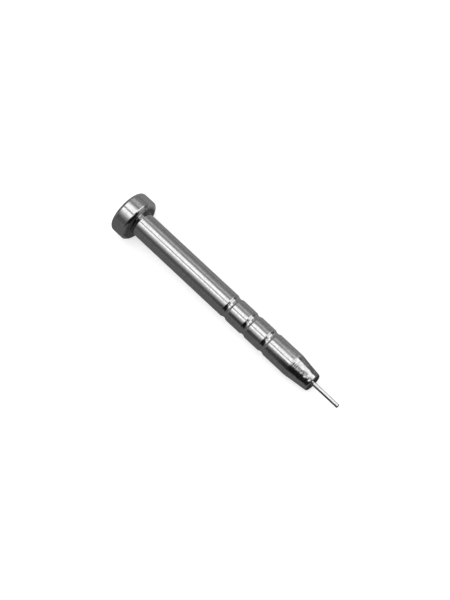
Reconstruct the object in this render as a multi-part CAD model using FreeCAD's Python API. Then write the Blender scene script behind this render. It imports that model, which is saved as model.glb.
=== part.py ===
import FreeCAD, Part
import math
import os

# Watch link remover: a pin punch that drives the pins out of a bracelet's links.
# The handle is one turned steel barrel. Its mushroom head is struck with a small hammer
# and unscrews, because the barrel is hollow and stores the spare pins. The working pin
# drops in from behind and a slotted grub screw clamps its head against the nose.
#
# Millimetres. The tool's axis is +X, from the centre of the struck face, which is the
# origin, to the tip of the pin. +Z is up as the tool lies on a bench.

# Striking head
head_diameter = 10.8
head_thickness = 4.65
head_rear_rim_radius = 0.85
head_front_rim_radius = 1.35
head_collar_length = 0.3

# Handle barrel, outside
handle_diameter = 6.0
handle_length = 54.0
edge_break = 0.05

# Nose, turned in a steep taper and a slender one
nose_length = 5.95
nose_steep_length = 2.45
nose_waist_diameter = 5.34
nose_tip_diameter = 4.5
nose_shoulder_radius = 2.0
nose_waist_radius = 4.0
nose_corner_radius = 0.4

# Grip grooves, one for each finger, counted from the nose
groove_count = 3
groove_pitch = 5.8
groove_to_nose = 7.55
groove_depth = 0.3
groove_radius = 1.9

# Screw thread of the head, drawn plain at its outside diameter
head_thread_diameter = 4.0
head_thread_pitch = 0.7
head_thread_length = 4.0
head_neck_diameter = 2.95
head_neck_spare_length = 0.3

# Seal ring round the neck of the head, in a pocket of the barrel's rear face
ring_thickness = 0.8
ring_pocket_diameter = 4.75

# Grub screw behind the pin, and how far back it turns
clamp_thread_diameter = 3.0
clamp_thread_pitch = 0.5
clamp_screw_length = 4.0
clamp_point_diameter = 2.0
clamp_slot_width = 0.4
clamp_slot_depth = 0.9
clamp_travel = 3.0

# Pins, the working one and the spares alike: a head, a stiff shank that the nose guides,
# a taper within the nose, and the thin end that goes through a link
pin_diameter = 1.0
pin_reach = 7.65
pin_shank_diameter = 1.2
pin_shank_length = 8.7
pin_taper_length = 0.6
pin_head_thickness = 0.8
spare_pin_count = 3

# Fits
thread_clearance = 0.03
pin_clearance = 0.03
ring_clearance = 0.05
spare_pin_gap = 0.05
end_gap = 0.3
bore_countersink = 0.15
drill_point_angle = 118.0
cutter_overrun = 0.5

# Radii
head_radius = head_diameter / 2
handle_radius = handle_diameter / 2
head_thread_radius = head_thread_diameter / 2
head_bore_radius = head_thread_radius + thread_clearance
head_neck_radius = head_neck_diameter / 2
clamp_thread_radius = clamp_thread_diameter / 2
clamp_bore_radius = clamp_thread_radius + thread_clearance
pin_radius = pin_diameter / 2
pin_shank_radius = pin_shank_diameter / 2
pin_bore_radius = pin_shank_radius + pin_clearance
ring_pocket_radius = ring_pocket_diameter / 2
# the store is the tapping drill of the head's thread, and the spares' heads just fill it
store_radius = (head_thread_diameter - head_thread_pitch) / 2
spare_pin_angle = 360 / spare_pin_count
spare_pin_spread = 1 / math.sin(math.radians(spare_pin_angle / 2))
spare_pin_room = store_radius - spare_pin_gap - spare_pin_gap / 2 * spare_pin_spread
pin_head_radius = spare_pin_room / (1 + spare_pin_spread)

# Places along the axis
seam = head_thickness + head_collar_length
nose_end = seam + handle_length
nose_start = nose_end - nose_length
nose_waist = nose_start + nose_steep_length
ring_pocket_depth = ring_thickness + 2 * ring_clearance
ring_pocket_end = seam + ring_pocket_depth
head_thread_start = ring_pocket_end + head_neck_spare_length
head_thread_end = head_thread_start + head_thread_length
head_bore_end = head_thread_end + head_thread_pitch
pin_seat = nose_end - pin_taper_length - pin_shank_length
clamp_point = pin_seat - pin_head_thickness
clamp_bore_length = pin_head_thickness + clamp_screw_length + clamp_travel + 2 * end_gap
clamp_bore_start = pin_seat - clamp_bore_length
drill_point_slope = math.tan(math.radians(drill_point_angle / 2))
store_end = clamp_bore_start - (store_radius - clamp_bore_radius) / drill_point_slope
spare_pin_seat = store_end - end_gap - pin_reach - pin_taper_length - pin_shank_length

# nearer than this, two points of an outline are one point
same_point = 1e-6


def place(x, radius):
    """The point of an outline at a length along the axis and a radius."""
    return FreeCAD.Vector(x, 0, radius)


def rounded(before, corner, after, radius):
    """Where a rounded corner starts, its middle and its end."""
    towards = (before - corner).normalize()
    onwards = (after - corner).normalize()
    half_angle = towards.getAngle(onwards) / 2
    middle_way = (towards + onwards).normalize()
    reach = radius / math.tan(half_angle)
    centre = corner + middle_way * (radius / math.sin(half_angle))
    return corner + towards * reach, centre - middle_way * radius, corner + onwards * reach


def turned(corners):
    """The solid of one turned outline. A corner is x, radius and, if it is rounded, how much."""
    points = [place(*corner[:2]) for corner in corners]
    roundings = [corner[2] if len(corner) > 2 else 0 for corner in corners]
    starts, arcs, ends = [], [], []
    for i, (point, rounding) in enumerate(zip(points, roundings)):
        start, middle, end = point, None, point
        if rounding:
            after = points[(i + 1) % len(points)]
            start, middle, end = rounded(points[i - 1], point, after, rounding)
            # written as a spline, the arc turns into a surface with fewer facets
            arcs.append(Part.Arc(start, middle, end).toBSpline().toShape())
        starts.append(start)
        ends.append(end)
    runs = []
    for i, start in enumerate(starts):
        if (start - ends[i - 1]).Length > same_point:
            runs.append(Part.makeLine(ends[i - 1], start))
    outline = Part.Wire(Part.__sortEdges__(runs + arcs))
    return Part.Face(outline).revolve(FreeCAD.Vector(), FreeCAD.Vector(1, 0, 0), 360)


def grip_groove(middle):
    """The corners of one groove, whose floor is a single arc from lip to lip."""
    flank = math.acos(1 - groove_depth / groove_radius)
    half_width = groove_radius * math.sin(flank)
    return [
        (middle - half_width, handle_radius),
        (middle, handle_radius - half_width * math.tan(flank), groove_radius),
        (middle + half_width, handle_radius),
    ]


def handle_barrel():
    """The hollow handle, outline outside from the seam to the nose and then inside back again."""
    outside = [(seam, handle_radius - edge_break), (seam + edge_break, handle_radius)]
    for number in reversed(range(groove_count)):
        outside += grip_groove(nose_start - groove_to_nose - number * groove_pitch)
    outside += [
        (nose_start, handle_radius, nose_shoulder_radius),
        (nose_waist, nose_waist_diameter / 2, nose_waist_radius),
        (nose_end, nose_tip_diameter / 2, nose_corner_radius),
    ]
    pin_bore = [
        (nose_end, pin_bore_radius + bore_countersink),
        (nose_end - bore_countersink, pin_bore_radius),
        (pin_seat, pin_bore_radius),
    ]
    clamp_bore = [(pin_seat, clamp_bore_radius), (clamp_bore_start, clamp_bore_radius)]
    store = [(store_end, store_radius), (head_bore_end, store_radius)]
    mouth = [
        (head_bore_end, head_bore_radius),
        (ring_pocket_end, head_bore_radius),
        (ring_pocket_end, ring_pocket_radius),
        (seam, ring_pocket_radius),
    ]
    return turned(outside + pin_bore + clamp_bore + store + mouth)


def striking_head():
    """The mushroom head with its collar, thread relief neck and screw spigot."""
    thread_chamfer = head_thread_radius - store_radius
    return turned([
        (0, 0),
        (0, head_radius, head_rear_rim_radius),
        (head_thickness, head_radius, head_front_rim_radius),
        (head_thickness, handle_radius),
        (seam - edge_break, handle_radius),
        (seam, handle_radius - edge_break),
        (seam, head_neck_radius),
        (head_thread_start, head_neck_radius),
        (head_thread_start + thread_chamfer, head_thread_radius),
        (head_thread_end - thread_chamfer, head_thread_radius),
        (head_thread_end, head_thread_radius - thread_chamfer),
        (head_thread_end, 0),
    ])


def head_seal_ring():
    """A square-cut rubber ring, pinched behind the head so that it can't shake loose."""
    start = seam + ring_clearance
    end = start + ring_thickness
    inside = head_neck_radius + ring_clearance
    outside = ring_pocket_radius - ring_clearance
    return turned([(start, inside), (start, outside), (end, outside), (end, inside)])


def pin(seat, off_axis=0, around=0):
    """A headed pin, its head's seat at a length along the axis, beside the axis if it is a spare."""
    shank_end = seat + pin_shank_length
    taper_end = shank_end + pin_taper_length
    tip = taper_end + pin_reach
    solid = turned([
        (seat - pin_head_thickness, 0),
        (seat - pin_head_thickness, pin_head_radius),
        (seat, pin_head_radius),
        (seat, pin_shank_radius),
        (shank_end, pin_shank_radius),
        (taper_end, pin_radius),
        (tip, pin_radius),
        (tip, 0),
    ])
    solid.translate(FreeCAD.Vector(0, 0, off_axis))
    solid.rotate(FreeCAD.Vector(), FreeCAD.Vector(1, 0, 0), around)
    return solid


def spare_pins():
    """The spare pins lie side by side in the store, heads together and just clear."""
    off_axis = (pin_head_radius + spare_pin_gap / 2) * spare_pin_spread
    turns = [number * spare_pin_angle for number in range(spare_pin_count)]
    return [pin(spare_pin_seat, off_axis, turn) for turn in turns]


def clamp_screw():
    """The slotted grub screw that holds the pin's head against its seat."""
    rear = clamp_point - clamp_screw_length
    point_chamfer = clamp_thread_radius - clamp_point_diameter / 2
    solid = turned([
        (rear, 0),
        (rear, clamp_thread_radius - clamp_thread_pitch / 2),
        (rear + clamp_thread_pitch / 2, clamp_thread_radius),
        (clamp_point - point_chamfer, clamp_thread_radius),
        (clamp_point, clamp_thread_radius - point_chamfer),
        (clamp_point, 0),
    ])
    slot_reach = clamp_thread_radius + cutter_overrun
    slot = Part.makeBox(
        clamp_slot_depth + cutter_overrun,
        2 * slot_reach,
        clamp_slot_width,
        FreeCAD.Vector(rear - cutter_overrun, -slot_reach, -clamp_slot_width / 2),
    )
    return solid.cut(slot)


os.makedirs("parts", exist_ok=True)
pieces = {
    "handle_barrel": handle_barrel(),
    "striking_head": striking_head(),
    "head_seal_ring": head_seal_ring(),
    "punch_pin": pin(pin_seat),
    "clamp_screw": clamp_screw(),
}
for number, spare_pin in enumerate(spare_pins(), start=1):
    pieces[f"spare_pin_{number}"] = spare_pin
for name, shape in pieces.items():
    shape.exportStep(f"parts/{name}.step")
    print(f"{name}: {len(shape.Solids)} solid, {shape.Volume:.2f} mm3, sound {shape.isValid()}")
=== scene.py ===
import math

import bmesh
import bpy
from mathutils import Matrix, Vector


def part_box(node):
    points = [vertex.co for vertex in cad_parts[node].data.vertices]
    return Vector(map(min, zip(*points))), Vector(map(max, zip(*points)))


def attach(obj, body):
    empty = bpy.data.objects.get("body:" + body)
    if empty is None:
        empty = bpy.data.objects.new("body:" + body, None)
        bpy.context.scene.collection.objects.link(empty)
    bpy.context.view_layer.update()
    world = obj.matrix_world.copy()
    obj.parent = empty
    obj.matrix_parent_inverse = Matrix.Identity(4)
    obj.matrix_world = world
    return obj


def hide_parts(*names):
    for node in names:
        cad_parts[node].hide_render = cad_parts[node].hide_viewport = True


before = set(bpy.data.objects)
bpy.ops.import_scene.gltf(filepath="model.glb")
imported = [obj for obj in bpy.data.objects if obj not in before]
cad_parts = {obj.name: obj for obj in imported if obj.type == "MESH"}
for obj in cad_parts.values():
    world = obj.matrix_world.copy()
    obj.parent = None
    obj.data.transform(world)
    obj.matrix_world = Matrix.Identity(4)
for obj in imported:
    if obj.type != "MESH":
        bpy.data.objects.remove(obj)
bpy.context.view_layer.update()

bl_info = {
    "name": "Watch Link Remover",
    "version": (1, 0, 0),
    "blender": (4, 5, 0),
    "location": "3D View > Sidebar > Link Remover",
    "description": "Dresses a turned steel pin punch for watch bracelets",
    "category": "Add Mesh",
}

# The tool lies along +X, from the struck face at the origin to the tip of the pin.
AXIS = Vector((1, 0, 0))
# a point near its middle, which the cards go round and the softbox shines at
MIDDLE = Vector((0.03, 0, 0))

barrel_low, barrel_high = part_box("handle_barrel")
_, head_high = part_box("striking_head")
ring_low, ring_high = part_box("head_seal_ring")
_, pin_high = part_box("punch_pin")
screw_low, screw_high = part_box("clamp_screw")

# how near to its ends a long run of an outline is split
HOLD = 1e-5
# nearer than this, two points are one point
SAME_POINT = 2e-7
# nearer than this to a cutting plane, a point lies on it
ON_PLANE = 1e-8
# the largest turn of one segment of a rounding, in radians
SEGMENT_TURN = 0.12
# a spin is made of sectors of so many steps
SECTOR_STEPS = 12
# an edge with a larger angle between its faces is drawn sharp
SHARP = math.radians(28)

# a 60 degree thread: the lean of its flanks, and its depth as a share of its pitch
FLANK = math.radians(30)
THREAD_DEPTH = 0.54

# how far from the axis the cards hang: most of them, those before others, one behind them
HANGING, BEFORE, BEYOND = 0.45, 0.42, 0.46
# where a closed card ends, just off the axis
CARD_END = 0.001
# the largest turn of one step of a card, in radians
CARD_STEP = 0.05
# how far under the tool the floor lies
UNDER = 2e-5


def to_micron(value):
    return round(value, 6)


def length(name, description, default):
    """A size in metres that a user may change."""
    return bpy.props.FloatProperty(
        name=name, description=description, default=to_micron(default),
        min=0.0, precision=5, unit="LENGTH", subtype="DISTANCE",
    )


def share(name, description, default, top=1.0):
    """A number between nothing and the top."""
    return bpy.props.FloatProperty(
        name=name, description=description, default=default, min=0.0, max=top,
    )


def colour(name, description, default):
    """A colour without alpha."""
    return bpy.props.FloatVectorProperty(
        name=name, description=description, default=default,
        size=3, min=0.0, max=1.0, subtype="COLOR",
    )


class HandleSizes(bpy.types.PropertyGroup):
    """Sizes of the turned barrel."""

    seam: length("Seam", "Where the head meets the barrel", barrel_low.x)
    end: length("Nose end", "Flat end of the nose", barrel_high.x)
    radius: length("Radius", "Radius of the bar", barrel_high.z)
    mouth_bevel: length("Mouth bevel", "Chamfer of the barrel at the seam", 0.00014)
    nose: length("Nose", "Length of the nose", 0.00595)
    steep: length("Steep taper", "Length of the steep taper", 0.00245)
    waist_radius: length("Waist radius", "Radius where the tapers meet", 0.00267)
    tip_radius: length("Tip radius", "Radius at the nose's end", 0.00225)
    shoulder: length("Shoulder rounding", "Rounding where the nose starts", 0.002)
    waist: length("Waist rounding", "Rounding where the tapers meet", 0.004)
    corner: length("Corner rounding", "Rounding at the nose's end", 0.0004)
    groove_pitch: length("Groove pitch", "From one groove to the next", 0.0058)
    groove_to_nose: length("Groove to nose", "From the front groove to the nose", 0.00755)
    groove_depth: length("Groove depth", "Depth of a finger groove", 0.00026)
    groove_rounding: length("Groove rounding", "Rounding of a groove's floor", 0.0012)
    lip_rounding: length("Lip rounding", "Rounding of a groove's lips", 0.00038)
    pin_bore: length("Pin bore", "Radius of the bore that guides the pin", 0.00063)
    pin_seat: length("Pin seat", "Where the pin's head sits", pin_high.x - 0.01695)
    screw_bore: length("Screw bore", "Radius of the grub screw's bore", 0.00153)
    screw_bore_start: length("Screw bore start", "Rear end of that bore", 0.04125)
    store: length("Store", "Radius of the store for spare pins", 0.00165)
    store_cone: length("Store cone", "Length of the drill point's cone", 0.000072)
    mouth: length("Mouth", "Radius of the threaded mouth", 0.00203)
    mouth_end: length("Mouth end", "Bottom of the threaded mouth", 0.01085)
    pocket: length("Ring pocket", "Radius of the seal ring's pocket", 0.002375)
    pocket_end: length("Ring pocket end", "Bottom of the pocket", 0.00585)
    countersink: length("Countersink", "Bevel at the mouth of the pin's bore", 0.00015)


class HeadSizes(bpy.types.PropertyGroup):
    """Sizes of the striking head and its spigot."""

    radius: length("Radius", "Radius of the head", head_high.z)
    thickness: length("Thickness", "Thickness of the head", 0.00465)
    rear_rim: length("Rear rim", "Rounding of the struck face's rim", 0.00095)
    front_rim: length("Front rim", "Rounding of the rim towards the handle", 0.0012)
    front_break: length("Front break", "Rounding where the head's side ends", 0.00038)
    front_cone: length("Front cone", "From that break to the front face", 0.00083)
    front_lean: bpy.props.FloatProperty(
        name="Front lean", description="Between that cone and the head's side",
        default=math.radians(42), min=0.0, subtype="ANGLE",
    )
    collar_cone: length("Collar cone", "Cone from the face down to the collar", 0.00026)
    collar_break: length("Collar break", "Chamfer of the collar at the seam", 0.00003)
    neck: length("Neck", "Radius of the thread relief", 0.001475)
    thread: length("Thread", "Outside radius of the thread", 0.002)
    pitch: length("Pitch", "Pitch of the thread", 0.0007)
    thread_bevel: length("Thread bevel", "Bevel of the thread's ends", 0.0004)
    thread_start: length("Thread start", "Where the thread starts", 0.00615)
    end: length("Spigot end", "End of the spigot", head_high.x)


class PinSizes(bpy.types.PropertyGroup):
    """Sizes of the working pin and its spares."""

    radius: length("Radius", "Radius of the working end", 0.0005)
    reach: length("Reach", "How far it stands out of the nose", pin_high.x - barrel_high.x)
    shank: length("Shank", "Radius of the guided shank", 0.0006)
    shank_length: length("Shank length", "Length of the guided shank", 0.0087)
    taper: length("Taper", "Length of the taper inside the nose", 0.0006)
    head: length("Head", "Radius of the pin's head", pin_high.z)
    head_thickness: length("Head thickness", "Thickness of the pin's head", 0.0008)
    head_rounding: length("Head rounding", "Rounding of the head's rear rim", 0.00008)
    seat_rounding: length("Seat rounding", "Rounding of the rim that sits", 0.00004)
    tip_bevel: length("Tip bevel", "Bevel of the pin's tip", 0.00011)
    bevel_rounding: length("Bevel rounding", "Rounding where that bevel starts", 0.00008)
    tip_rounding: length("Tip rounding", "Rounding where it ends", 0.00005)


class ScrewSizes(bpy.types.PropertyGroup):
    """Sizes of the grub screw."""

    rear: length("Rear", "Slotted end", screw_low.x)
    front: length("Front", "End that bears on the pin", screw_high.x)
    thread: length("Thread", "Outside radius of the thread", 0.0015)
    pitch: length("Pitch", "Pitch of the thread", 0.0005)
    thread_bevel: length("Thread bevel", "Bevel of the thread's ends", 0.00035)
    slot_width: length("Slot width", "Width of the slot", 0.0004)
    slot_depth: length("Slot depth", "Depth of the slot", 0.0009)


class RingSizes(bpy.types.PropertyGroup):
    """Sizes of the seal ring."""

    start: length("Start", "Rear face", ring_low.x)
    end: length("End", "Front face", ring_high.x)
    inside: length("Inside", "Inner radius", 0.001525)
    outside: length("Outside", "Outer radius", ring_high.z)
    bevel: length("Bevel", "Softened corners", 0.00012)


class Finishes(bpy.types.PropertyGroup):
    """Colours and blur of the steels, and the rubber's colour."""

    handle: colour("Handle steel", "Polished bar", (0.78, 0.78, 0.785))
    head: colour("Head steel", "Satin turned head", (0.78, 0.78, 0.785))
    pin: colour("Pin steel", "Ground pin", (0.86, 0.86, 0.855))
    screw: colour("Screw steel", "Blackened grub screw", (0.09, 0.09, 0.095))
    rubber: colour("Rubber", "Seal ring", (0.018, 0.018, 0.018))
    dust: colour("Dust", "Dust on the rubber", (0.12, 0.12, 0.115))
    handle_roughness: share("Handle roughness", "Blur of the bar", 0.07)
    head_roughness: share("Head roughness", "Blur of the head", 0.09)
    pin_roughness: share("Pin roughness", "Blur of the pins", 0.12)
    screw_roughness: share("Screw roughness", "Blur of the grub screw", 0.4)


class Studio(bpy.types.PropertyGroup):
    """Floor, lamp and camera."""

    floor: length("Floor radius", "Radius of the floor", 1.5)
    floor_colour: colour("Floor colour", "Pale floor", (0.93, 0.93, 0.93))
    floor_glow: share("Floor glow", "What the white background adds where it is seen", 0.45)
    sky: share("World", "Strength of the white world on matt things", 0.82)
    lamp: share("Lamp", "Radiance of the softbox", 1.0, 5.0)
    lamp_width: length("Lamp width", "Width of the softbox", 0.34)
    lamp_depth: length("Lamp depth", "Depth of the softbox", 0.26)
    lamp_distance: length("Lamp distance", "From the tool to the softbox", 0.5)
    lens: bpy.props.FloatProperty(
        name="Lens", description="Focal length in millimetres", default=135.6, min=10.0,
    )
    distance: length("Camera distance", "From the middle of the frame", 0.5047)


# Meshes


def outline(corners, closed):
    """One turned outline from corners of x, radius and rounding, as a bmesh of bare edges."""
    bm = bmesh.new()
    points = [Vector((x, 0, radius)) for x, radius, _ in corners]
    verts = [bm.verts.new(point) for point in points]
    for i in range(len(verts) if closed else len(verts) - 1):
        bm.edges.new((verts[i], verts[(i + 1) % len(verts)]))
    for i, (_, _, rounding) in enumerate(corners):
        if rounding:
            before = (points[i - 1] - points[i]).normalized()
            after = (points[(i + 1) % len(points)] - points[i]).normalized()
            half = before.angle(after) / 2
            turn = math.pi - 2 * half
            bmesh.ops.bevel(
                bm, geom=[verts[i]], offset=rounding / math.tan(half), offset_type="OFFSET",
                segments=max(3, math.ceil(turn / SEGMENT_TURN)), profile=0.5,
                affect="VERTICES", material=-1,
            )
    return bm


def hold_ends(bm):
    """Splits long runs close to both ends, so that roundings don't shade the flats beside them."""
    for edge in bm.edges[:]:
        run = edge.calc_length()
        if run > 10 * HOLD:
            start, end = edge.verts
            _, middle = bmesh.utils.edge_split(edge, start, HOLD / run)
            rest = next(e for e in middle.link_edges if end in e.verts)
            bmesh.utils.edge_split(rest, end, HOLD / rest.calc_length())


def spin_outline(bm, steps, turns=1, pitch=0.0):
    """Spins an outline round the axis: first one sector, then copies of it."""
    sectors = turns * steps // SECTOR_STEPS
    sector = 2 * math.pi * turns / sectors
    bmesh.ops.spin(
        bm, geom=bm.verts[:] + bm.edges[:], cent=(0, 0, 0), axis=AXIS,
        dvec=(pitch / steps, 0, 0), angle=sector, steps=SECTOR_STEPS, use_merge=False,
    )
    bmesh.ops.spin(
        bm, geom=bm.verts[:] + bm.edges[:] + bm.faces[:], cent=(0, 0, 0), axis=AXIS,
        dvec=(SECTOR_STEPS * pitch / steps, 0, 0), angle=(sectors - 1) * sector,
        steps=sectors - 1, use_duplicate=True,
    )
    bmesh.ops.remove_doubles(bm, verts=bm.verts, dist=SAME_POINT)
    bmesh.ops.recalc_face_normals(bm, faces=bm.faces)


def turned(corners, closed=False, steps=240):
    """The shell of one turned piece."""
    bm = outline(corners, closed)
    hold_ends(bm)
    spin_outline(bm, steps)
    return bm


def threaded(start, end, crest, pitch, bevel, steps=72):
    """A closed right-hand thread from start to end, bevelled at both ends."""
    depth = THREAD_DEPTH * pitch
    flank = depth * math.tan(FLANK)
    # the root is two flats wide and the crest is one
    flat = (pitch - 2 * flank) / 3
    root = crest - depth
    bm = bmesh.new()
    turns = math.ceil((end - start) / pitch) + 2
    x = start - pitch
    ridge = [(x, root), (x + 2 * flat, root), (x + 2 * flat + flank, crest)]
    ridge += [(x + 3 * flat + flank, crest), (x + pitch, root)]
    verts = [bm.verts.new((a, 0, b)) for a, b in ridge]
    for first, second in zip(verts, verts[1:]):
        bm.edges.new((first, second))
    bmesh.ops.subdivide_edges(bm, edges=bm.edges[:], cuts=2)
    spin_outline(bm, steps, turns, pitch)
    for place, side in ((start, -1), (end, 1)):
        bmesh.ops.bisect_plane(
            bm, geom=bm.verts[:] + bm.edges[:] + bm.faces[:], dist=ON_PLANE,
            plane_co=(place, 0, 0), plane_no=(side, 0, 0), clear_outer=True,
        )
    rims = [edge for edge in bm.edges if edge.is_boundary]
    bmesh.ops.edgeloop_fill(bm, edges=rims)
    for vert in bm.verts:
        inset = min(vert.co.x - start, end - vert.co.x)
        reach = math.hypot(vert.co.y, vert.co.z)
        limit = max(crest - bevel + inset, 0.0)
        if reach > limit:
            vert.co.y *= limit / reach
            vert.co.z *= limit / reach
    bmesh.ops.recalc_face_normals(bm, faces=bm.faces)
    return bm


def to_mesh(bm, name):
    """The mesh of a finished bmesh."""
    mesh = bpy.data.meshes.new(name)
    bm.to_mesh(mesh)
    bm.free()
    return mesh


def joined(*shells):
    """One bmesh of several closed shells."""
    whole = bmesh.new()
    for shell in shells:
        mesh = to_mesh(shell, "shell")
        whole.from_mesh(mesh)
        bpy.data.meshes.remove(mesh)
    return whole


def linked(name, mesh):
    """A new object in the scene."""
    obj = bpy.data.objects.new(name, mesh)
    bpy.context.scene.collection.objects.link(obj)
    return obj


def piece(bm, name, body, material, slot, *nodes):
    """The object of a finished bmesh, riding on its body and standing for its nodes."""
    for edge in bm.edges:
        edge.smooth = len(edge.link_faces) < 2 or edge.calc_face_angle() < SHARP
    for face in bm.faces:
        face.smooth = True
    mesh = to_mesh(bm, name)
    mesh.materials.append(material)
    obj = linked(name, mesh)
    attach(obj, body)
    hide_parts(*nodes)
    return obj


# Node groups and materials


def new_group(name, values, outputs, vectors=()):
    """A node group with a place and named values in, and named values and vectors out."""
    group = bpy.data.node_groups.new(name, "ShaderNodeTree")
    group.interface.new_socket("Vector", in_out="INPUT", socket_type="NodeSocketVector")
    for label, value in values.items():
        socket = group.interface.new_socket(
            label, in_out="INPUT", socket_type="NodeSocketFloat")
        socket.default_value = value
    for label in outputs:
        group.interface.new_socket(label, in_out="OUTPUT", socket_type="NodeSocketFloat")
    for label in vectors:
        group.interface.new_socket(label, in_out="OUTPUT", socket_type="NodeSocketVector")
    given = group.nodes.new("NodeGroupInput")
    out = group.nodes.new("NodeGroupOutput")
    return group, given.outputs, out.inputs


def shaded(base, factor):
    """The same colour, darker or lighter."""
    return tuple(min(factor * value, 1.0) for value in base)


class Nodes:
    """Short ways to add nodes to one tree and link them."""

    def __init__(self, tree):
        self.tree = tree

    def add(self, kind, **settings):
        node = self.tree.nodes.new(kind)
        for key, value in settings.items():
            setattr(node, key, value)
        return node

    def put(self, socket, value):
        if isinstance(value, bpy.types.NodeSocket):
            self.tree.links.new(value, socket)
        else:
            socket.default_value = value

    def place(self):
        """The place on the piece, in its own frame."""
        return self.add("ShaderNodeTexCoord").outputs["Object"]

    def use(self, group, place, **values):
        """The outputs of a node group at a place, with values of its own."""
        node = self.add("ShaderNodeGroup", node_tree=group)
        self.put(node.inputs["Vector"], place)
        for label, value in values.items():
            node.inputs[label].default_value = value
        return node.outputs

    def math(self, operation, first, second=0.0, third=0.0, clamp=False):
        node = self.add("ShaderNodeMath", operation=operation, use_clamp=clamp)
        for socket, value in zip(node.inputs, (first, second, third)):
            self.put(socket, value)
        return node.outputs[0]

    def vector_math(self, operation, first, second, output="Vector"):
        node = self.add("ShaderNodeVectorMath", operation=operation)
        for socket, value in zip(node.inputs, (first, second)):
            self.put(socket, value)
        return node.outputs[output]

    def noise(self, place, scale, detail=2.0, dimensions="3D"):
        node = self.add("ShaderNodeTexNoise", noise_dimensions=dimensions)
        self.put(node.inputs["W" if dimensions == "1D" else "Vector"], place)
        node.inputs["Scale"].default_value = scale
        node.inputs["Detail"].default_value = detail
        node.inputs["Roughness"].default_value = 0.5
        return node.outputs["Fac"]

    def ripple(self, place, scale, detail=2.0, dimensions="3D"):
        """Noise to both sides of nothing."""
        return self.math("SUBTRACT", self.noise(place, scale, detail, dimensions), 0.5)

    def span(self, value, low, high, to_low=0.0, to_high=1.0):
        """A soft step from one value to another."""
        node = self.add("ShaderNodeMapRange", interpolation_type="SMOOTHSTEP")
        for socket, item in zip(node.inputs, (value, low, high, to_low, to_high)):
            self.put(socket, item)
        return node.outputs[0]

    def mix(self, share_of, first, second):
        """Two colours, or tuples of three numbers, mixed by a share of the second."""
        node = self.add("ShaderNodeMix", data_type="RGBA")
        self.put(node.inputs[0], share_of)
        for socket, value in ((node.inputs[6], first), (node.inputs[7], second)):
            self.put(socket, (*value, 1.0) if isinstance(value, tuple) else value)
        return node.outputs[2]

    def parts(self, place):
        node = self.add("ShaderNodeSeparateXYZ")
        self.put(node.inputs[0], place)
        return node.outputs

    def vector(self, x, y, z):
        node = self.add("ShaderNodeCombineXYZ")
        for socket, value in zip(node.inputs, (x, y, z)):
            self.put(socket, value)
        return node.outputs[0]

    def wrapped(self, around, scale, along):
        """A place for noise that runs round the axis at one scale and along it at another."""
        node = self.add("ShaderNodeVectorMath", operation="SCALE")
        self.put(node.inputs[0], around)
        node.inputs["Scale"].default_value = scale
        return self.vector_math("ADD", node.outputs[0], self.vector(along, 0.0, 0.0))

    def bump(self, shader, height, depth, strength=1.0):
        node = self.add("ShaderNodeBump")
        node.inputs["Strength"].default_value = strength
        node.inputs["Distance"].default_value = depth
        self.put(node.inputs["Height"], height)
        self.put(shader.inputs["Normal"], node.outputs["Normal"])


def lathe_places():
    """Where a point lies on a turned surface: along the tool's path, and round the axis."""
    group, given, out = new_group(
        "lathe_places", {}, ("Path", "Along", "Radius"), vectors=("Round",))
    n = Nodes(group)
    x, y, z = n.parts(given["Vector"])
    square = n.math("ADD", n.math("MULTIPLY", y, y), n.math("MULTIPLY", z, z))
    radius = n.math("SQRT", square)
    off_axis = n.math("MAXIMUM", radius, 1e-5)
    # the radius counts too, so that end faces have rings
    n.put(out["Path"], n.math("MULTIPLY_ADD", radius, 0.7, x))
    n.put(out["Along"], x)
    n.put(out["Radius"], radius)
    around = n.vector(0.0, n.math("DIVIDE", y, off_axis), n.math("DIVIDE", z, off_axis))
    n.put(out["Round"], around)
    return group


def turning_marks(places):
    """Rings that a lathe leaves, some only part of the way round, and the ripple of polishing."""
    group, given, out = new_group(
        "turning_marks", {"Feed": 9000.0, "Rings": 1.0, "Arcs": 0.6, "Waves": 0.4},
        ("Height", "Shade"),
    )
    n = Nodes(group)
    where = n.use(places, given["Vector"])
    path = n.math("MULTIPLY", where["Path"], given["Feed"])
    rings = n.ripple(path, 1.0, 3.0, "1D")
    waves = n.ripple(given["Vector"], 1700.0, 1.0)
    arcs = n.ripple(n.wrapped(where["Round"], 1.6, n.math("MULTIPLY", path, 0.45)), 1.0, 3.0)
    height = n.math("MULTIPLY", rings, given["Rings"])
    height = n.math("MULTIPLY_ADD", arcs, given["Arcs"], height)
    height = n.math("MULTIPLY_ADD", waves, given["Waves"], height)
    n.put(out["Height"], height)
    n.put(out["Shade"], n.math("ADD", n.math("ADD", rings, arcs), 0.5, clamp=True))
    return group


def handling(places):
    """Hairlines along the bar, soft smudges from fingers and small pits with dirt in them."""
    group, given, out = new_group(
        "handling", {"Hairlines": 1.0}, ("Hairline", "Smudge", "Speck"))
    n = Nodes(group)
    place = given["Vector"]
    where = n.use(places, place)
    fine = n.wrapped(where["Round"], 34.0, n.math("MULTIPLY", where["Along"], 120.0))
    lines = n.span(n.noise(fine, 1.0, 3.0), 0.56, 0.7)
    n.put(out["Hairline"], n.math("MULTIPLY", lines, given["Hairlines"]))
    n.put(out["Smudge"], n.span(n.noise(place, 260.0, 3.0), 0.42, 0.7))
    n.put(out["Speck"], n.span(n.noise(place, 3400.0), 0.69, 0.75))
    return group


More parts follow.
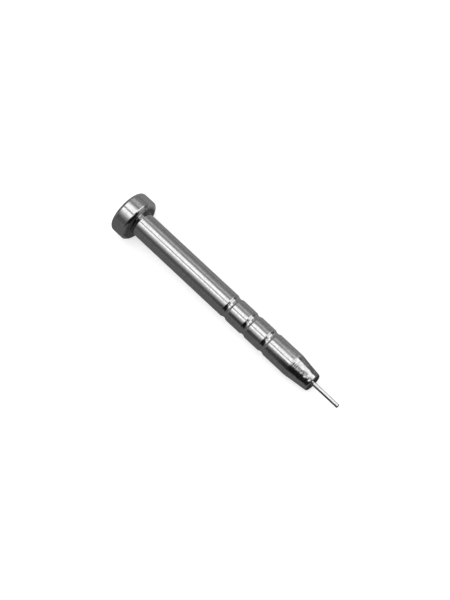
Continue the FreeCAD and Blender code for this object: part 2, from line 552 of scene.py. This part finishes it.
def hammer_marks(places):
    """Shallow overlapping dents that a small hammer leaves on a struck face at x 0."""
    group, given, out = new_group("hammer_marks", {"Reach": 0.0048}, ("Height", "Struck"))
    n = Nodes(group)
    place, reach = given["Vector"], given["Reach"]
    where = n.use(places, place)
    ragged = n.math("MULTIPLY_ADD", n.noise(place, 700.0), 0.002, where["Radius"])
    inner, outer = n.math("MULTIPLY", reach, 0.8), n.math("MULTIPLY", reach, 1.2)
    struck = n.span(ragged, inner, outer, 1.0, 0.0)
    struck = n.math("MULTIPLY", struck, n.span(where["Along"], 2e-5, 8e-5, 1.0, 0.0))
    cells = n.add("ShaderNodeTexVoronoi", feature="SMOOTH_F1")
    n.put(cells.inputs["Vector"], place)
    cells.inputs["Scale"].default_value = 1250.0
    cells.inputs["Smoothness"].default_value = 0.25
    n.put(out["Height"], n.math("MULTIPLY", cells.outputs["Distance"], struck))
    n.put(out["Struck"], struck)
    return group


def painted_corner_shade(places):
    """Painted shade in the corner between the head's front face and the collar, left out at the
    top where the light falls.
    """
    group, given, out = new_group("painted_corner_shade", {"Reach": 0.0045}, ("PaintedShade",))
    n = Nodes(group)
    place, reach = given["Vector"], given["Reach"]
    where = n.use(places, place)
    uneven = n.ripple(place, 1100.0, 3.0)
    # its middle lies a little beside the axis
    middle = n.vector(where["Along"], -0.0003, 0.0004)
    beside = n.vector_math("DISTANCE", place, middle, "Value")
    beside = n.math("MULTIPLY_ADD", uneven, 0.0012, beside)
    inner, outer = n.math("MULTIPLY", reach, 0.93), n.math("MULTIPLY", reach, 1.1)
    near = n.span(beside, inner, outer, 1.0, 0.0)
    near = n.math("MULTIPLY", near, n.span(where["Along"], 0.0039, 0.0042))
    # painted shade: the top of the corner is left out, where the light falls
    upwards = n.vector_math("DOT_PRODUCT", where["Round"], (0.0, 0.05, 1.0), "Value")
    facing_up = n.math("MULTIPLY_ADD", uneven, 0.03, upwards)
    below_top = n.span(facing_up, 0.962, 0.985, 1.0, 0.0)
    n.put(out["PaintedShade"], n.math("MULTIPLY", near, below_top))
    return group


def new_material(name, base, roughness, metallic):
    """A material with its Principled shader, and the helpers to add nodes to it."""
    material = bpy.data.materials.new(name)
    material.use_nodes = True
    material.diffuse_color = (*base, 1.0)
    shader = material.node_tree.nodes["Principled BSDF"]
    shader.inputs["Base Color"].default_value = (*base, 1.0)
    shader.inputs["Roughness"].default_value = roughness
    shader.inputs["Metallic"].default_value = metallic
    return material, shader, Nodes(material.node_tree)


class Steel:
    """A turned steel with rings, hairlines and smudges in its tone, blur and height.

    A steel with marks of its own adds them to these before it is closed.
    """

    def __init__(self, name, base, roughness, groups, marks, hairlines):
        self.base = tuple(base)
        _, self.shader, self.n = new_material(name, self.base, roughness, 1.0)
        n = self.n
        self.place = n.place()
        lathe = n.use(groups["turning_marks"], self.place, **marks)
        touched = n.use(groups["handling"], self.place, Hairlines=hairlines)

        grain = n.span(n.noise(self.place, 2300.0), 0.34, 0.66)
        shade = n.math("MULTIPLY_ADD", grain, 0.45, n.math("MULTIPLY", lathe["Shade"], 0.55))
        self.tone = n.mix(shade, shaded(self.base, 0.8), shaded(self.base, 1.13))
        self.darken_stain_and_shade(touched["Smudge"], 0.2, 0.8)
        self.darken_stain_and_shade(touched["Speck"], 0.7, 0.25)

        blur = n.math("MULTIPLY_ADD", lathe["Shade"], -0.06, roughness + 0.03)
        blur = n.math("MULTIPLY_ADD", touched["Smudge"], 0.07, blur)
        self.blur = n.math("MULTIPLY_ADD", touched["Hairline"], 0.08, blur)

        height = n.math("MULTIPLY_ADD", touched["Hairline"], -0.5, lathe["Height"])
        self.height = n.math("MULTIPLY_ADD", touched["Speck"], -1.5, height)

    def darken_stain_and_shade(self, mask, strength, factor):
        """Mixes the steel's own colour, darker, into its tone: for stains, and for painted shade.
        """
        strength = self.n.math("MULTIPLY", mask, strength)
        self.tone = self.n.mix(strength, self.tone, shaded(self.base, factor))

    def blur_more(self, mask, amount):
        self.blur = self.n.math("MULTIPLY_ADD", mask, amount, self.blur)

    def raise_more(self, mask, amount):
        self.height = self.n.math("MULTIPLY_ADD", mask, amount, self.height)

    def close(self, depth):
        """Links the tone, the blur and the height, whose 1 is so deep."""
        self.n.put(self.shader.inputs["Base Color"], self.tone)
        self.n.put(self.shader.inputs["Roughness"], self.blur)
        self.n.bump(self.shader, self.height, depth)


def polished_bar(look, size, groups):
    """The bar's polished steel, with chatter on the steep taper and dents on the slender one."""
    steel = Steel("polished_bar", look.handle, look.handle_roughness, groups,
                  {"Feed": 9000.0, "Rings": 0.5, "Arcs": 0.5, "Waves": 1.2}, 0.5)
    n = steel.n
    x, y, z = n.parts(steel.place)
    start = size.end - size.nose
    waist = start + size.steep

    ragged = n.math("MULTIPLY", n.ripple(steel.place, 1500.0), 0.0009)
    on_steep = n.math("MULTIPLY",
                      n.span(n.math("ADD", x, ragged), start - 0.0003, start),
                      n.span(x, waist, waist + 0.0006, 1.0, 0.0))
    uneven = n.ripple(n.vector(n.math("MULTIPLY", x, 4.0), y, z), 900.0, 3.0)
    # a ring every 0.46 mm
    rings = n.math("MULTIPLY_ADD", uneven, 5.0, n.math("MULTIPLY", x, 13700.0))
    rings = n.math("MULTIPLY", n.math("SINE", rings), 1.8)
    chatter = n.math("MULTIPLY_ADD", uneven, 12.0, rings)
    steel.raise_more(chatter, on_steep)

    on_slender = n.math("MULTIPLY",
                        n.span(x, waist - 0.0004, waist + 0.0003),
                        n.span(x, size.end - 0.0008, size.end - 0.0004, 1.0, 0.0))
    dents = n.math("MULTIPLY", n.ripple(steel.place, 640.0), 85.0)
    steel.raise_more(dents, on_slender)
    steel.close(2.0e-6)


def turned_head(look, groups):
    """The head's satin steel, dented where it is struck, with painted shade in its corner."""
    steel = Steel("turned_head", look.head, look.head_roughness, groups,
                  {"Feed": 7000.0, "Rings": 0.8, "Arcs": 0.8, "Waves": 1.8}, 0.6)
    n = steel.n
    hammered = n.use(groups["hammer_marks"], steel.place)
    steel.raise_more(hammered["Height"], 18.0)
    steel.darken_stain_and_shade(n.span(hammered["Height"], 0.3, 0.7), 0.45, 0.5)
    steel.blur_more(hammered["Struck"], 0.1)
    # painted shade: the corner between the front face and the collar made darker all round but at
    # the top
    painted_shade_mask = n.use(groups["painted_corner_shade"], steel.place)["PaintedShade"]
    steel.darken_stain_and_shade(painted_shade_mask, 0.85, 0.2)
    steel.blur_more(painted_shade_mask, 0.1)
    steel.close(3.0e-6)


def ground_pin(look, groups):
    """The pins' steel, ground all over."""
    Steel("ground_pin", look.pin, look.pin_roughness, groups,
          {"Feed": 16000.0, "Rings": 0.5, "Arcs": 0.4, "Waves": 0.4}, 0.4).close(1.0e-6)


def blackened_screw(look, groups):
    """The grub screw's blackened steel."""
    Steel("blackened_screw", look.screw, look.screw_roughness, groups,
          {"Feed": 14000.0, "Rings": 0.6, "Arcs": 0.6, "Waves": 0.5}, 0.6).close(2.0e-6)


def black_rubber(look):
    """Matt black rubber with a fine grain and dust on it."""
    base = tuple(look.rubber)
    _, shader, n = new_material("black_rubber", base, 0.75, 0.0)
    place = n.place()
    grain = n.noise(place, 9000.0, 3.0)
    dust = n.math("MULTIPLY", n.span(n.noise(place, 2500.0, 4.0), 0.5, 0.75), 0.25)
    n.put(shader.inputs["Base Color"], n.mix(dust, base, tuple(look.dust)))
    n.put(shader.inputs["Roughness"], n.math("MULTIPLY_ADD", grain, 0.2, 0.65))
    n.bump(shader, grain, 1e-5, strength=0.6)


def finish(name):
    """One of the tool's materials, all made the first time that one is asked for."""
    if name not in bpy.data.materials:
        look = bpy.context.scene.link_remover_finishes
        places = lathe_places()
        groups = {
            "turning_marks": turning_marks(places),
            "handling": handling(places),
            "hammer_marks": hammer_marks(places),
            "painted_corner_shade": painted_corner_shade(places),
        }
        polished_bar(look, bpy.context.scene.link_remover_handle, groups)
        turned_head(look, groups)
        ground_pin(look, groups)
        blackened_screw(look, groups)
        black_rubber(look)
    return bpy.data.materials[name]


# Operators for the pieces


def groove(size, middle):
    """The corners of one finger groove with its soft lips."""
    rounding = size.groove_rounding + size.lip_rounding
    flank = math.acos((rounding - size.groove_depth) / rounding)
    apex = size.groove_depth + size.groove_rounding / math.cos(flank) - size.groove_rounding
    half = apex / math.tan(flank)
    return [
        (middle - half, size.radius, size.lip_rounding),
        (middle, size.radius - apex, size.groove_rounding),
        (middle + half, size.radius, size.lip_rounding),
    ]


class BuildHandle(bpy.types.Operator):
    """Turns the hollow barrel with its grooves, nose and bores"""

    bl_idname = "link_remover.handle"
    bl_label = "Handle"

    def execute(self, context):
        size = context.scene.link_remover_handle
        nose = size.end - size.nose
        corners = [
            (size.seam, size.radius - size.mouth_bevel, 0.0),
            (size.seam + size.mouth_bevel, size.radius, 0.0),
        ]
        for number in (2, 1, 0):
            corners += groove(size, nose - size.groove_to_nose - number * size.groove_pitch)
        corners += [
            (nose, size.radius, size.shoulder),
            (nose + size.steep, size.waist_radius, size.waist),
            (size.end, size.tip_radius, size.corner),
            (size.end, size.pin_bore + size.countersink, 0.0),
            (size.end - size.countersink, size.pin_bore, 0.0),
            (size.pin_seat, size.pin_bore, 0.0),
            (size.pin_seat, size.screw_bore, 0.0),
            (size.screw_bore_start, size.screw_bore, 0.0),
            (size.screw_bore_start - size.store_cone, size.store, 0.0),
            (size.mouth_end, size.store, 0.0),
            (size.mouth_end, size.mouth, 0.0),
            (size.pocket_end, size.mouth, 0.0),
            (size.pocket_end, size.pocket, 0.0),
            (size.seam, size.pocket, 0.0),
        ]
        piece(turned(corners, closed=True), "handle", "handle",
              finish("polished_bar"), "handle_steel", "handle_barrel")
        return {"FINISHED"}


class BuildHead(bpy.types.Operator):
    """Turns the striking head and cuts the thread of its spigot"""

    bl_idname = "link_remover.head"
    bl_label = "Striking head"

    def execute(self, context):
        size = context.scene.link_remover_head
        handle = context.scene.link_remover_handle
        collar, seam = handle.radius, handle.seam
        drop = size.front_cone * math.tan(size.front_lean)
        soft = size.collar_cone / 4
        # the blank ends inside the thread, which is a shell of its own
        blank_end = size.thread_start + size.pitch / 2
        blank = turned([
            (0.0, 0.0, 0.0),
            (0.0, size.radius, size.rear_rim),
            (size.thickness - size.front_cone, size.radius, size.front_break),
            (size.thickness, size.radius - drop, size.front_rim),
            (size.thickness, collar + size.collar_cone, soft),
            (size.thickness + size.collar_cone, collar, soft),
            (seam - size.collar_break, collar, 0.0),
            (seam, collar - size.collar_break, 0.0),
            (seam, size.neck, 0.0),
            (blank_end, size.neck, 0.0),
            (blank_end, 0.0, 0.0),
        ])
        spigot = threaded(
            size.thread_start, size.end, size.thread, size.pitch, size.thread_bevel)
        piece(joined(blank, spigot), "head", "head",
              finish("turned_head"), "head_steel", "striking_head")
        return {"FINISHED"}


class BuildRing(bpy.types.Operator):
    """Cuts the square rubber ring round the head's neck"""

    bl_idname = "link_remover.ring"
    bl_label = "Seal ring"

    def execute(self, context):
        size = context.scene.link_remover_ring
        corners = [
            (size.start, size.inside, size.bevel),
            (size.start, size.outside, size.bevel),
            (size.end, size.outside, size.bevel),
            (size.end, size.inside, size.bevel),
        ]
        piece(turned(corners, closed=True, steps=120), "seal_ring", "ring",
              finish("black_rubber"), "seal_rubber", "head_seal_ring")
        return {"FINISHED"}


class BuildPins(bpy.types.Operator):
    """Turns the working pin and the spares that lie in the handle"""

    bl_idname = "link_remover.pins"
    bl_label = "Pins"

    def execute(self, context):
        size = context.scene.link_remover_pin
        for node, body in (("punch_pin", "pin"), ("spare_pin_1", "spare_1"),
                           ("spare_pin_2", "spare_2"), ("spare_pin_3", "spare_3")):
            low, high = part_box(node)
            tip = high.x
            taper_end = tip - size.reach
            shank_end = taper_end - size.taper
            seat = shank_end - size.shank_length
            rear = seat - size.head_thickness
            bm = turned([
                (rear, 0.0, 0.0),
                (rear, size.head, size.head_rounding),
                (seat, size.head, size.seat_rounding),
                (seat, size.shank, 0.0),
                (shank_end, size.shank, 0.0),
                (taper_end, size.radius, 0.0),
                (tip - size.tip_bevel, size.radius, size.bevel_rounding),
                (tip, size.radius - size.tip_bevel, size.tip_rounding),
                (tip, 0.0, 0.0),
            ], steps=96)
            if body != "pin":
                # the round head makes the box, so a spare's axis is the box's middle
                middle = (low + high) / 2
                bmesh.ops.translate(bm, vec=(0.0, middle.y, middle.z), verts=bm.verts)
            piece(bm, node + "_steel", body, finish("ground_pin"), "pin_steel", node)
        return {"FINISHED"}


class BuildScrew(bpy.types.Operator):
    """Cuts the grub screw's thread and slot"""

    bl_idname = "link_remover.screw"
    bl_label = "Grub screw"

    def execute(self, context):
        size = context.scene.link_remover_screw
        bm = threaded(size.rear, size.front, size.thread, size.pitch, size.thread_bevel)
        screw = piece(bm, "grub_screw", "grub_screw", finish("blackened_screw"), "screw_steel",
                      "clamp_screw")
        # the cutter reaches out of the screw on three sides
        bm = bmesh.new()
        bmesh.ops.create_cube(bm, size=1.0)
        block = Vector((2 * size.slot_depth, 3 * size.thread, size.slot_width))
        bmesh.ops.scale(bm, vec=block, verts=bm.verts)
        bmesh.ops.translate(bm, vec=(size.rear, 0.0, 0.0), verts=bm.verts)
        cutter = linked("slot_cutter", to_mesh(bm, "slot_cutter"))
        cut = screw.modifiers.new("slot", "BOOLEAN")
        cut.object = cutter
        cut.operation = "DIFFERENCE"
        context.view_layer.update()
        shaped = bpy.data.meshes.new_from_object(
            screw.evaluated_get(context.evaluated_depsgraph_get()))
        screw.modifiers.remove(cut)
        screw.data = shaped
        bpy.data.objects.remove(cutter)
        return {"FINISHED"}


# The stage


def seen(n):
    """1 for rays that see the background straight, mirrored or through glass."""
    path = n.add("ShaderNodeLightPath")
    mirrored = n.math("MAXIMUM", path.outputs["Is Camera Ray"], path.outputs["Is Glossy Ray"])
    return n.math("MAXIMUM", mirrored, path.outputs["Is Transmission Ray"])


def stage_object(name, mesh):
    obj = linked(name, mesh)
    return obj


def only_reflected(obj):
    """Hides a card from all but reflections."""
    obj.visible_camera = False
    obj.visible_diffuse = False
    obj.visible_shadow = False
    obj.visible_transmission = False
    obj.visible_volume_scatter = False


def glow(name, first, last=None, curve=1.0):
    """A card's grey, which may run from its first edge to its last."""
    material = bpy.data.materials.new(name)
    material.use_nodes = True
    tree = material.node_tree
    tree.nodes.clear()
    n = Nodes(tree)
    emission = n.add("ShaderNodeEmission")
    emission.inputs["Color"].default_value = (first, first, first, 1.0)
    if last is not None:
        spread = n.add("ShaderNodeAttribute", attribute_name="spread").outputs["Fac"]
        rest = n.math("POWER", n.math("SUBTRACT", 1.0, spread), curve)
        n.put(emission.inputs["Color"], n.math("MULTIPLY_ADD", rest, first - last, last))
    n.put(n.add("ShaderNodeOutputMaterial").inputs["Surface"], emission.outputs[0])
    return material


def card(name, angles, leans, first, last=None, curve=1.0, distance=HANGING, closed=False):
    """A curved card round the tool.

    Its angles are in degrees from straight up towards -Y, and its leans in degrees
    from square to the tool towards +X, both as seen from the tool's middle. A closed
    card also has an end that reaches in to the tool's axis.
    """
    bm = bmesh.new()
    spread = bm.verts.layers.float.new("spread")
    reaches = [distance * math.tan(math.radians(lean)) for lean in leans]
    ends = [bm.verts.new((reach, 0.0, distance)) for reach in reaches]
    if closed:
        far = max(reaches, key=abs)
        ends.insert(0 if far == reaches[0] else 2, bm.verts.new((far, 0.0, CARD_END)))
    edges = [bm.edges.new(pair) for pair in zip(ends, ends[1:])]
    start, sweep = math.radians(angles[0]), math.radians(angles[1] - angles[0])
    bmesh.ops.spin(bm, geom=ends + edges, cent=(0, 0, 0), axis=AXIS, dvec=(0, 0, 0),
                   angle=sweep, steps=max(2, int(sweep / CARD_STEP)), use_merge=False)
    for vert in bm.verts:
        vert[spread] = math.atan2(-vert.co.y, vert.co.z) / sweep
    bmesh.ops.rotate(bm, cent=(0, 0, 0), matrix=Matrix.Rotation(start, 3, "X"), verts=bm.verts)
    bmesh.ops.translate(bm, vec=MIDDLE, verts=bm.verts)
    mesh = to_mesh(bm, name)
    mesh.materials.append(glow(name, first, last, curve))
    only_reflected(stage_object(name, mesh))


def hang_cards():
    """Hangs the cards that the steel shows, all round the tool but underneath."""
    # the lowest angles on the far and the near side, and the leans that many cards share
    far, near = -106.3, 101.7
    behind, about, ahead = (-45, -8.9), (-45, 1.1), (1.1, 34)

    # behind square, which the cylinders show
    card("low_light", (far, -88.3), behind, 0.3)
    card("far_grey", (-88.3, -58.3), behind, 0.18, 0.24)
    card("far_light", (-58.3, -47.3), behind, 0.26, 0.47)
    card("middle_light", (-47.3, -39.3), behind, 0.47)
    card("near_grey", (-39.3, -27.3), behind, 0.44, 0.23)
    card("near_edge", (-27.3, -15.3), behind, 0.23, 0.9)
    card("panel", (-15.3, 28.7), about, 1.24)
    card("slit", (7.2, 15.2), about, 0.36, distance=BEFORE)
    card("fall_off", (28.7, 65.7), about, 0.98, 0.09, curve=2.0)
    card("dark_side", (65.7, 81.7), about, 0.095)
    card("low_side", (81.7, near), about, 0.135)
    # darker beside the fingers' grooves, the nose and the pin
    card("groove_dark", (54, 80), (-14.6, -13.4), 0.05, distance=BEFORE)
    card("nose_dark", (54, 80), (-13.4, -11.9), 0.045, distance=BEFORE)
    card("pin_dark", (35, near), (-10.4, 1), 0.008, distance=BEFORE)
    # ahead of square, which the tapers, the rims and the grooves' rear walls show
    card("front_far", (far, -59.3), (-5.1, 45.5), 0.12)
    card("front_window", (far, -35), (45.5, 66), 0.33, closed=True)
    card("front_white", (-59.3, -11.3), (-8.9, 20), 1.13, distance=BEYOND)
    card("front_top", (-11.3, 0), ahead, 0.43)
    card("front_dim", (0, 10), ahead, 0.5)
    card("front_shine", (10, 20), ahead, 0.85)
    card("front_edge", (20, 31.7), ahead, 0.6, 0.02)
    card("front_core", (-11.3, 31.7), (34, 52), 0.02)
    card("front_black", (31.7, 81.7), (1.1, 52), 0.008)
    card("front_deep", (-35, 81.7), (52, 66), 0.012, closed=True)
    card("front_low", (81.7, near), (1.1, 60), 0.06)
    card("front_foot", (81.7, near), (60, 66), 0.02, closed=True)
    card("front_hollow", (-3, 31), (7.3, 16), 0.02, distance=BEFORE)
    # far behind, which the rear rim and the grooves' front walls show
    card("rear_grey", (far, near), (-70, -45), 0.2)
    card("rear_end", (far, near), (-80, -70), 0.06, closed=True)


def laid(bm, name, shoulder, tilt, below):
    """The mesh of a level shape, laid at the floor's tilt just below the nose's shoulder."""
    bmesh.ops.rotate(bm, cent=(0, 0, 0), matrix=Matrix.Rotation(-tilt, 3, "Y"), verts=bm.verts)
    bmesh.ops.translate(bm, vec=shoulder - Vector((0, 0, below)), verts=bm.verts)
    return to_mesh(bm, name)


def mat(name, shoulder, tilt, along, across, grey, below):
    """A flat card on the floor, from one x to another and from one y to another."""
    bm = bmesh.new()
    corners = ((along[0], across[0]), (along[1], across[0]),
               (along[1], across[1]), (along[0], across[1]))
    bm.faces.new([bm.verts.new((x - shoulder.x, y, 0.0)) for x, y in corners])
    mesh = laid(bm, name, shoulder, tilt, below)
    mesh.materials.append(glow(name, grey))
    only_reflected(stage_object(name, mesh))


def lay_floor(studio, shoulder, tilt):
    """Lays the pale floor, and over it dark mats that only the steel sees, one of them a painted
    shadow under the nose.
    """
    bm = bmesh.new()
    bmesh.ops.create_circle(bm, cap_ends=True, segments=96, radius=studio.floor)
    mesh = laid(bm, "floor", shoulder, tilt, UNDER)
    base = tuple(studio.floor_colour)
    material, shader, n = new_material("floor_paper", base, 0.9, 0.0)
    shader.inputs["Specular IOR Level"].default_value = 0.0
    grain = n.noise(n.place(), 900.0, 3.0)
    n.put(shader.inputs["Base Color"], n.mix(grain, shaded(base, 0.985), base))
    shader.inputs["Emission Color"].default_value = (1.0, 1.0, 1.0, 1.0)
    n.put(shader.inputs["Emission Strength"], n.math("MULTIPLY", seen(n), studio.floor_glow))
    mesh.materials.append(material)
    stage_object("floor", mesh)

    mat("mat", shoulder, tilt, (-1.0, 1.1), (-1.0, 1.0), 0.125, 1e-5)
    mat("far_mat", shoulder, tilt, (-1.0, 0.052), (0.006, 1.0), 0.25, 8e-6)
    # painted shadow on the floor under and ahead of the nose, which only the nose's end face shows
    mat("under_nose", shoulder, tilt, (0.0588, 0.0625), (-0.003, 0.005), 0.03, 6e-6)


def light(scene, studio):
    """Sets the white world, weaker where it isn't seen, and the softbox."""
    world = bpy.data.worlds.new("white")
    scene.world = world
    world.use_nodes = True
    n = Nodes(world.node_tree)
    ground = n.tree.nodes["Background"]
    ground.inputs["Color"].default_value = (1.0, 1.0, 1.0, 1.0)
    strength = n.math("MULTIPLY_ADD", seen(n), 1.0 - studio.sky, studio.sky)
    n.put(ground.inputs["Strength"], strength)

    lamp = bpy.data.lights.new("softbox", "AREA")
    lamp.shape = "RECTANGLE"
    lamp.size, lamp.size_y = studio.lamp_width, studio.lamp_depth
    lamp.energy = studio.lamp * math.pi * studio.lamp_width * studio.lamp_depth
    softbox = linked("softbox", lamp)
    softbox.visible_glossy = False
    towards = Vector((-0.12, -0.27, 0.95)).normalized()
    softbox.location = MIDDLE + studio.lamp_distance * towards
    softbox.rotation_euler = towards.to_track_quat("Z", "Y").to_euler()


def aim_camera(scene, studio):
    """Sets the camera, whose axis and right-hand side are those of the photograph."""
    back = Vector((0.2600, -0.2596, 0.9301)).normalized()
    right = Vector((0.7066, 0.7076, 0.0)).normalized()
    target = Vector((0.03132, 0.00019, 0.00006))
    camera = linked("camera", bpy.data.cameras.new("camera"))
    camera.data.lens = studio.lens
    camera.data.clip_start = 0.01
    camera.data.clip_end = 20.0
    turn = Matrix((right, back.cross(right), back)).transposed().to_4x4()
    camera.matrix_world = Matrix.Translation(target + studio.distance * back) @ turn
    scene.camera = camera


class BuildStudio(bpy.types.Operator):
    """Sets the floor, the world, the softbox, the cards and the camera"""

    bl_idname = "link_remover.studio"
    bl_label = "Studio"

    def execute(self, context):
        scene = context.scene
        studio = scene.link_remover_studio
        handle, head = scene.link_remover_handle, scene.link_remover_head
        scene.view_settings.view_transform = "Standard"

        # the floor touches the nose's shoulder and the head's rim, which tilts it
        shoulder = Vector((handle.end - handle.nose, 0.0, -handle.radius))
        rim = Vector((head.thickness - head.front_rim, 0.0, head.front_rim - head.radius))
        reach = shoulder - rim
        tilt = math.atan2(reach.z, reach.x) + math.asin(head.front_rim / reach.length)
        lay_floor(studio, shoulder, tilt)
        hang_cards()
        light(scene, studio)
        aim_camera(scene, studio)
        return {"FINISHED"}


class ToolPanel(bpy.types.Panel):
    """Lists the pieces of the tool and its studio"""

    bl_idname = "VIEW3D_PT_link_remover"
    bl_label = "Watch link remover"
    bl_space_type = "VIEW_3D"
    bl_region_type = "UI"
    bl_category = "Link Remover"

    def draw(self, context):
        for operator in OPERATORS:
            self.layout.operator(operator.bl_idname)
        for name in GROUPS:
            box = self.layout.box()
            group = getattr(context.scene, name)
            for key in group.bl_rna.properties.keys():
                if key not in ("rna_type", "name"):
                    box.prop(group, key)


OPERATORS = (BuildHandle, BuildHead, BuildRing, BuildPins, BuildScrew, BuildStudio)
GROUPS = {
    "link_remover_handle": HandleSizes,
    "link_remover_head": HeadSizes,
    "link_remover_pin": PinSizes,
    "link_remover_screw": ScrewSizes,
    "link_remover_ring": RingSizes,
    "link_remover_finishes": Finishes,
    "link_remover_studio": Studio,
}


def register():
    for kind in (*GROUPS.values(), *OPERATORS, ToolPanel):
        bpy.utils.register_class(kind)
    for name, kind in GROUPS.items():
        setattr(bpy.types.Scene, name, bpy.props.PointerProperty(type=kind))


def unregister():
    for name in GROUPS:
        delattr(bpy.types.Scene, name)
    for kind in reversed((*GROUPS.values(), *OPERATORS, ToolPanel)):
        bpy.utils.unregister_class(kind)


def main():
    register()
    bpy.ops.link_remover.handle()
    bpy.ops.link_remover.head()
    bpy.ops.link_remover.ring()
    bpy.ops.link_remover.pins()
    bpy.ops.link_remover.screw()
    bpy.ops.link_remover.studio()


if __name__ == "__main__":
    main()
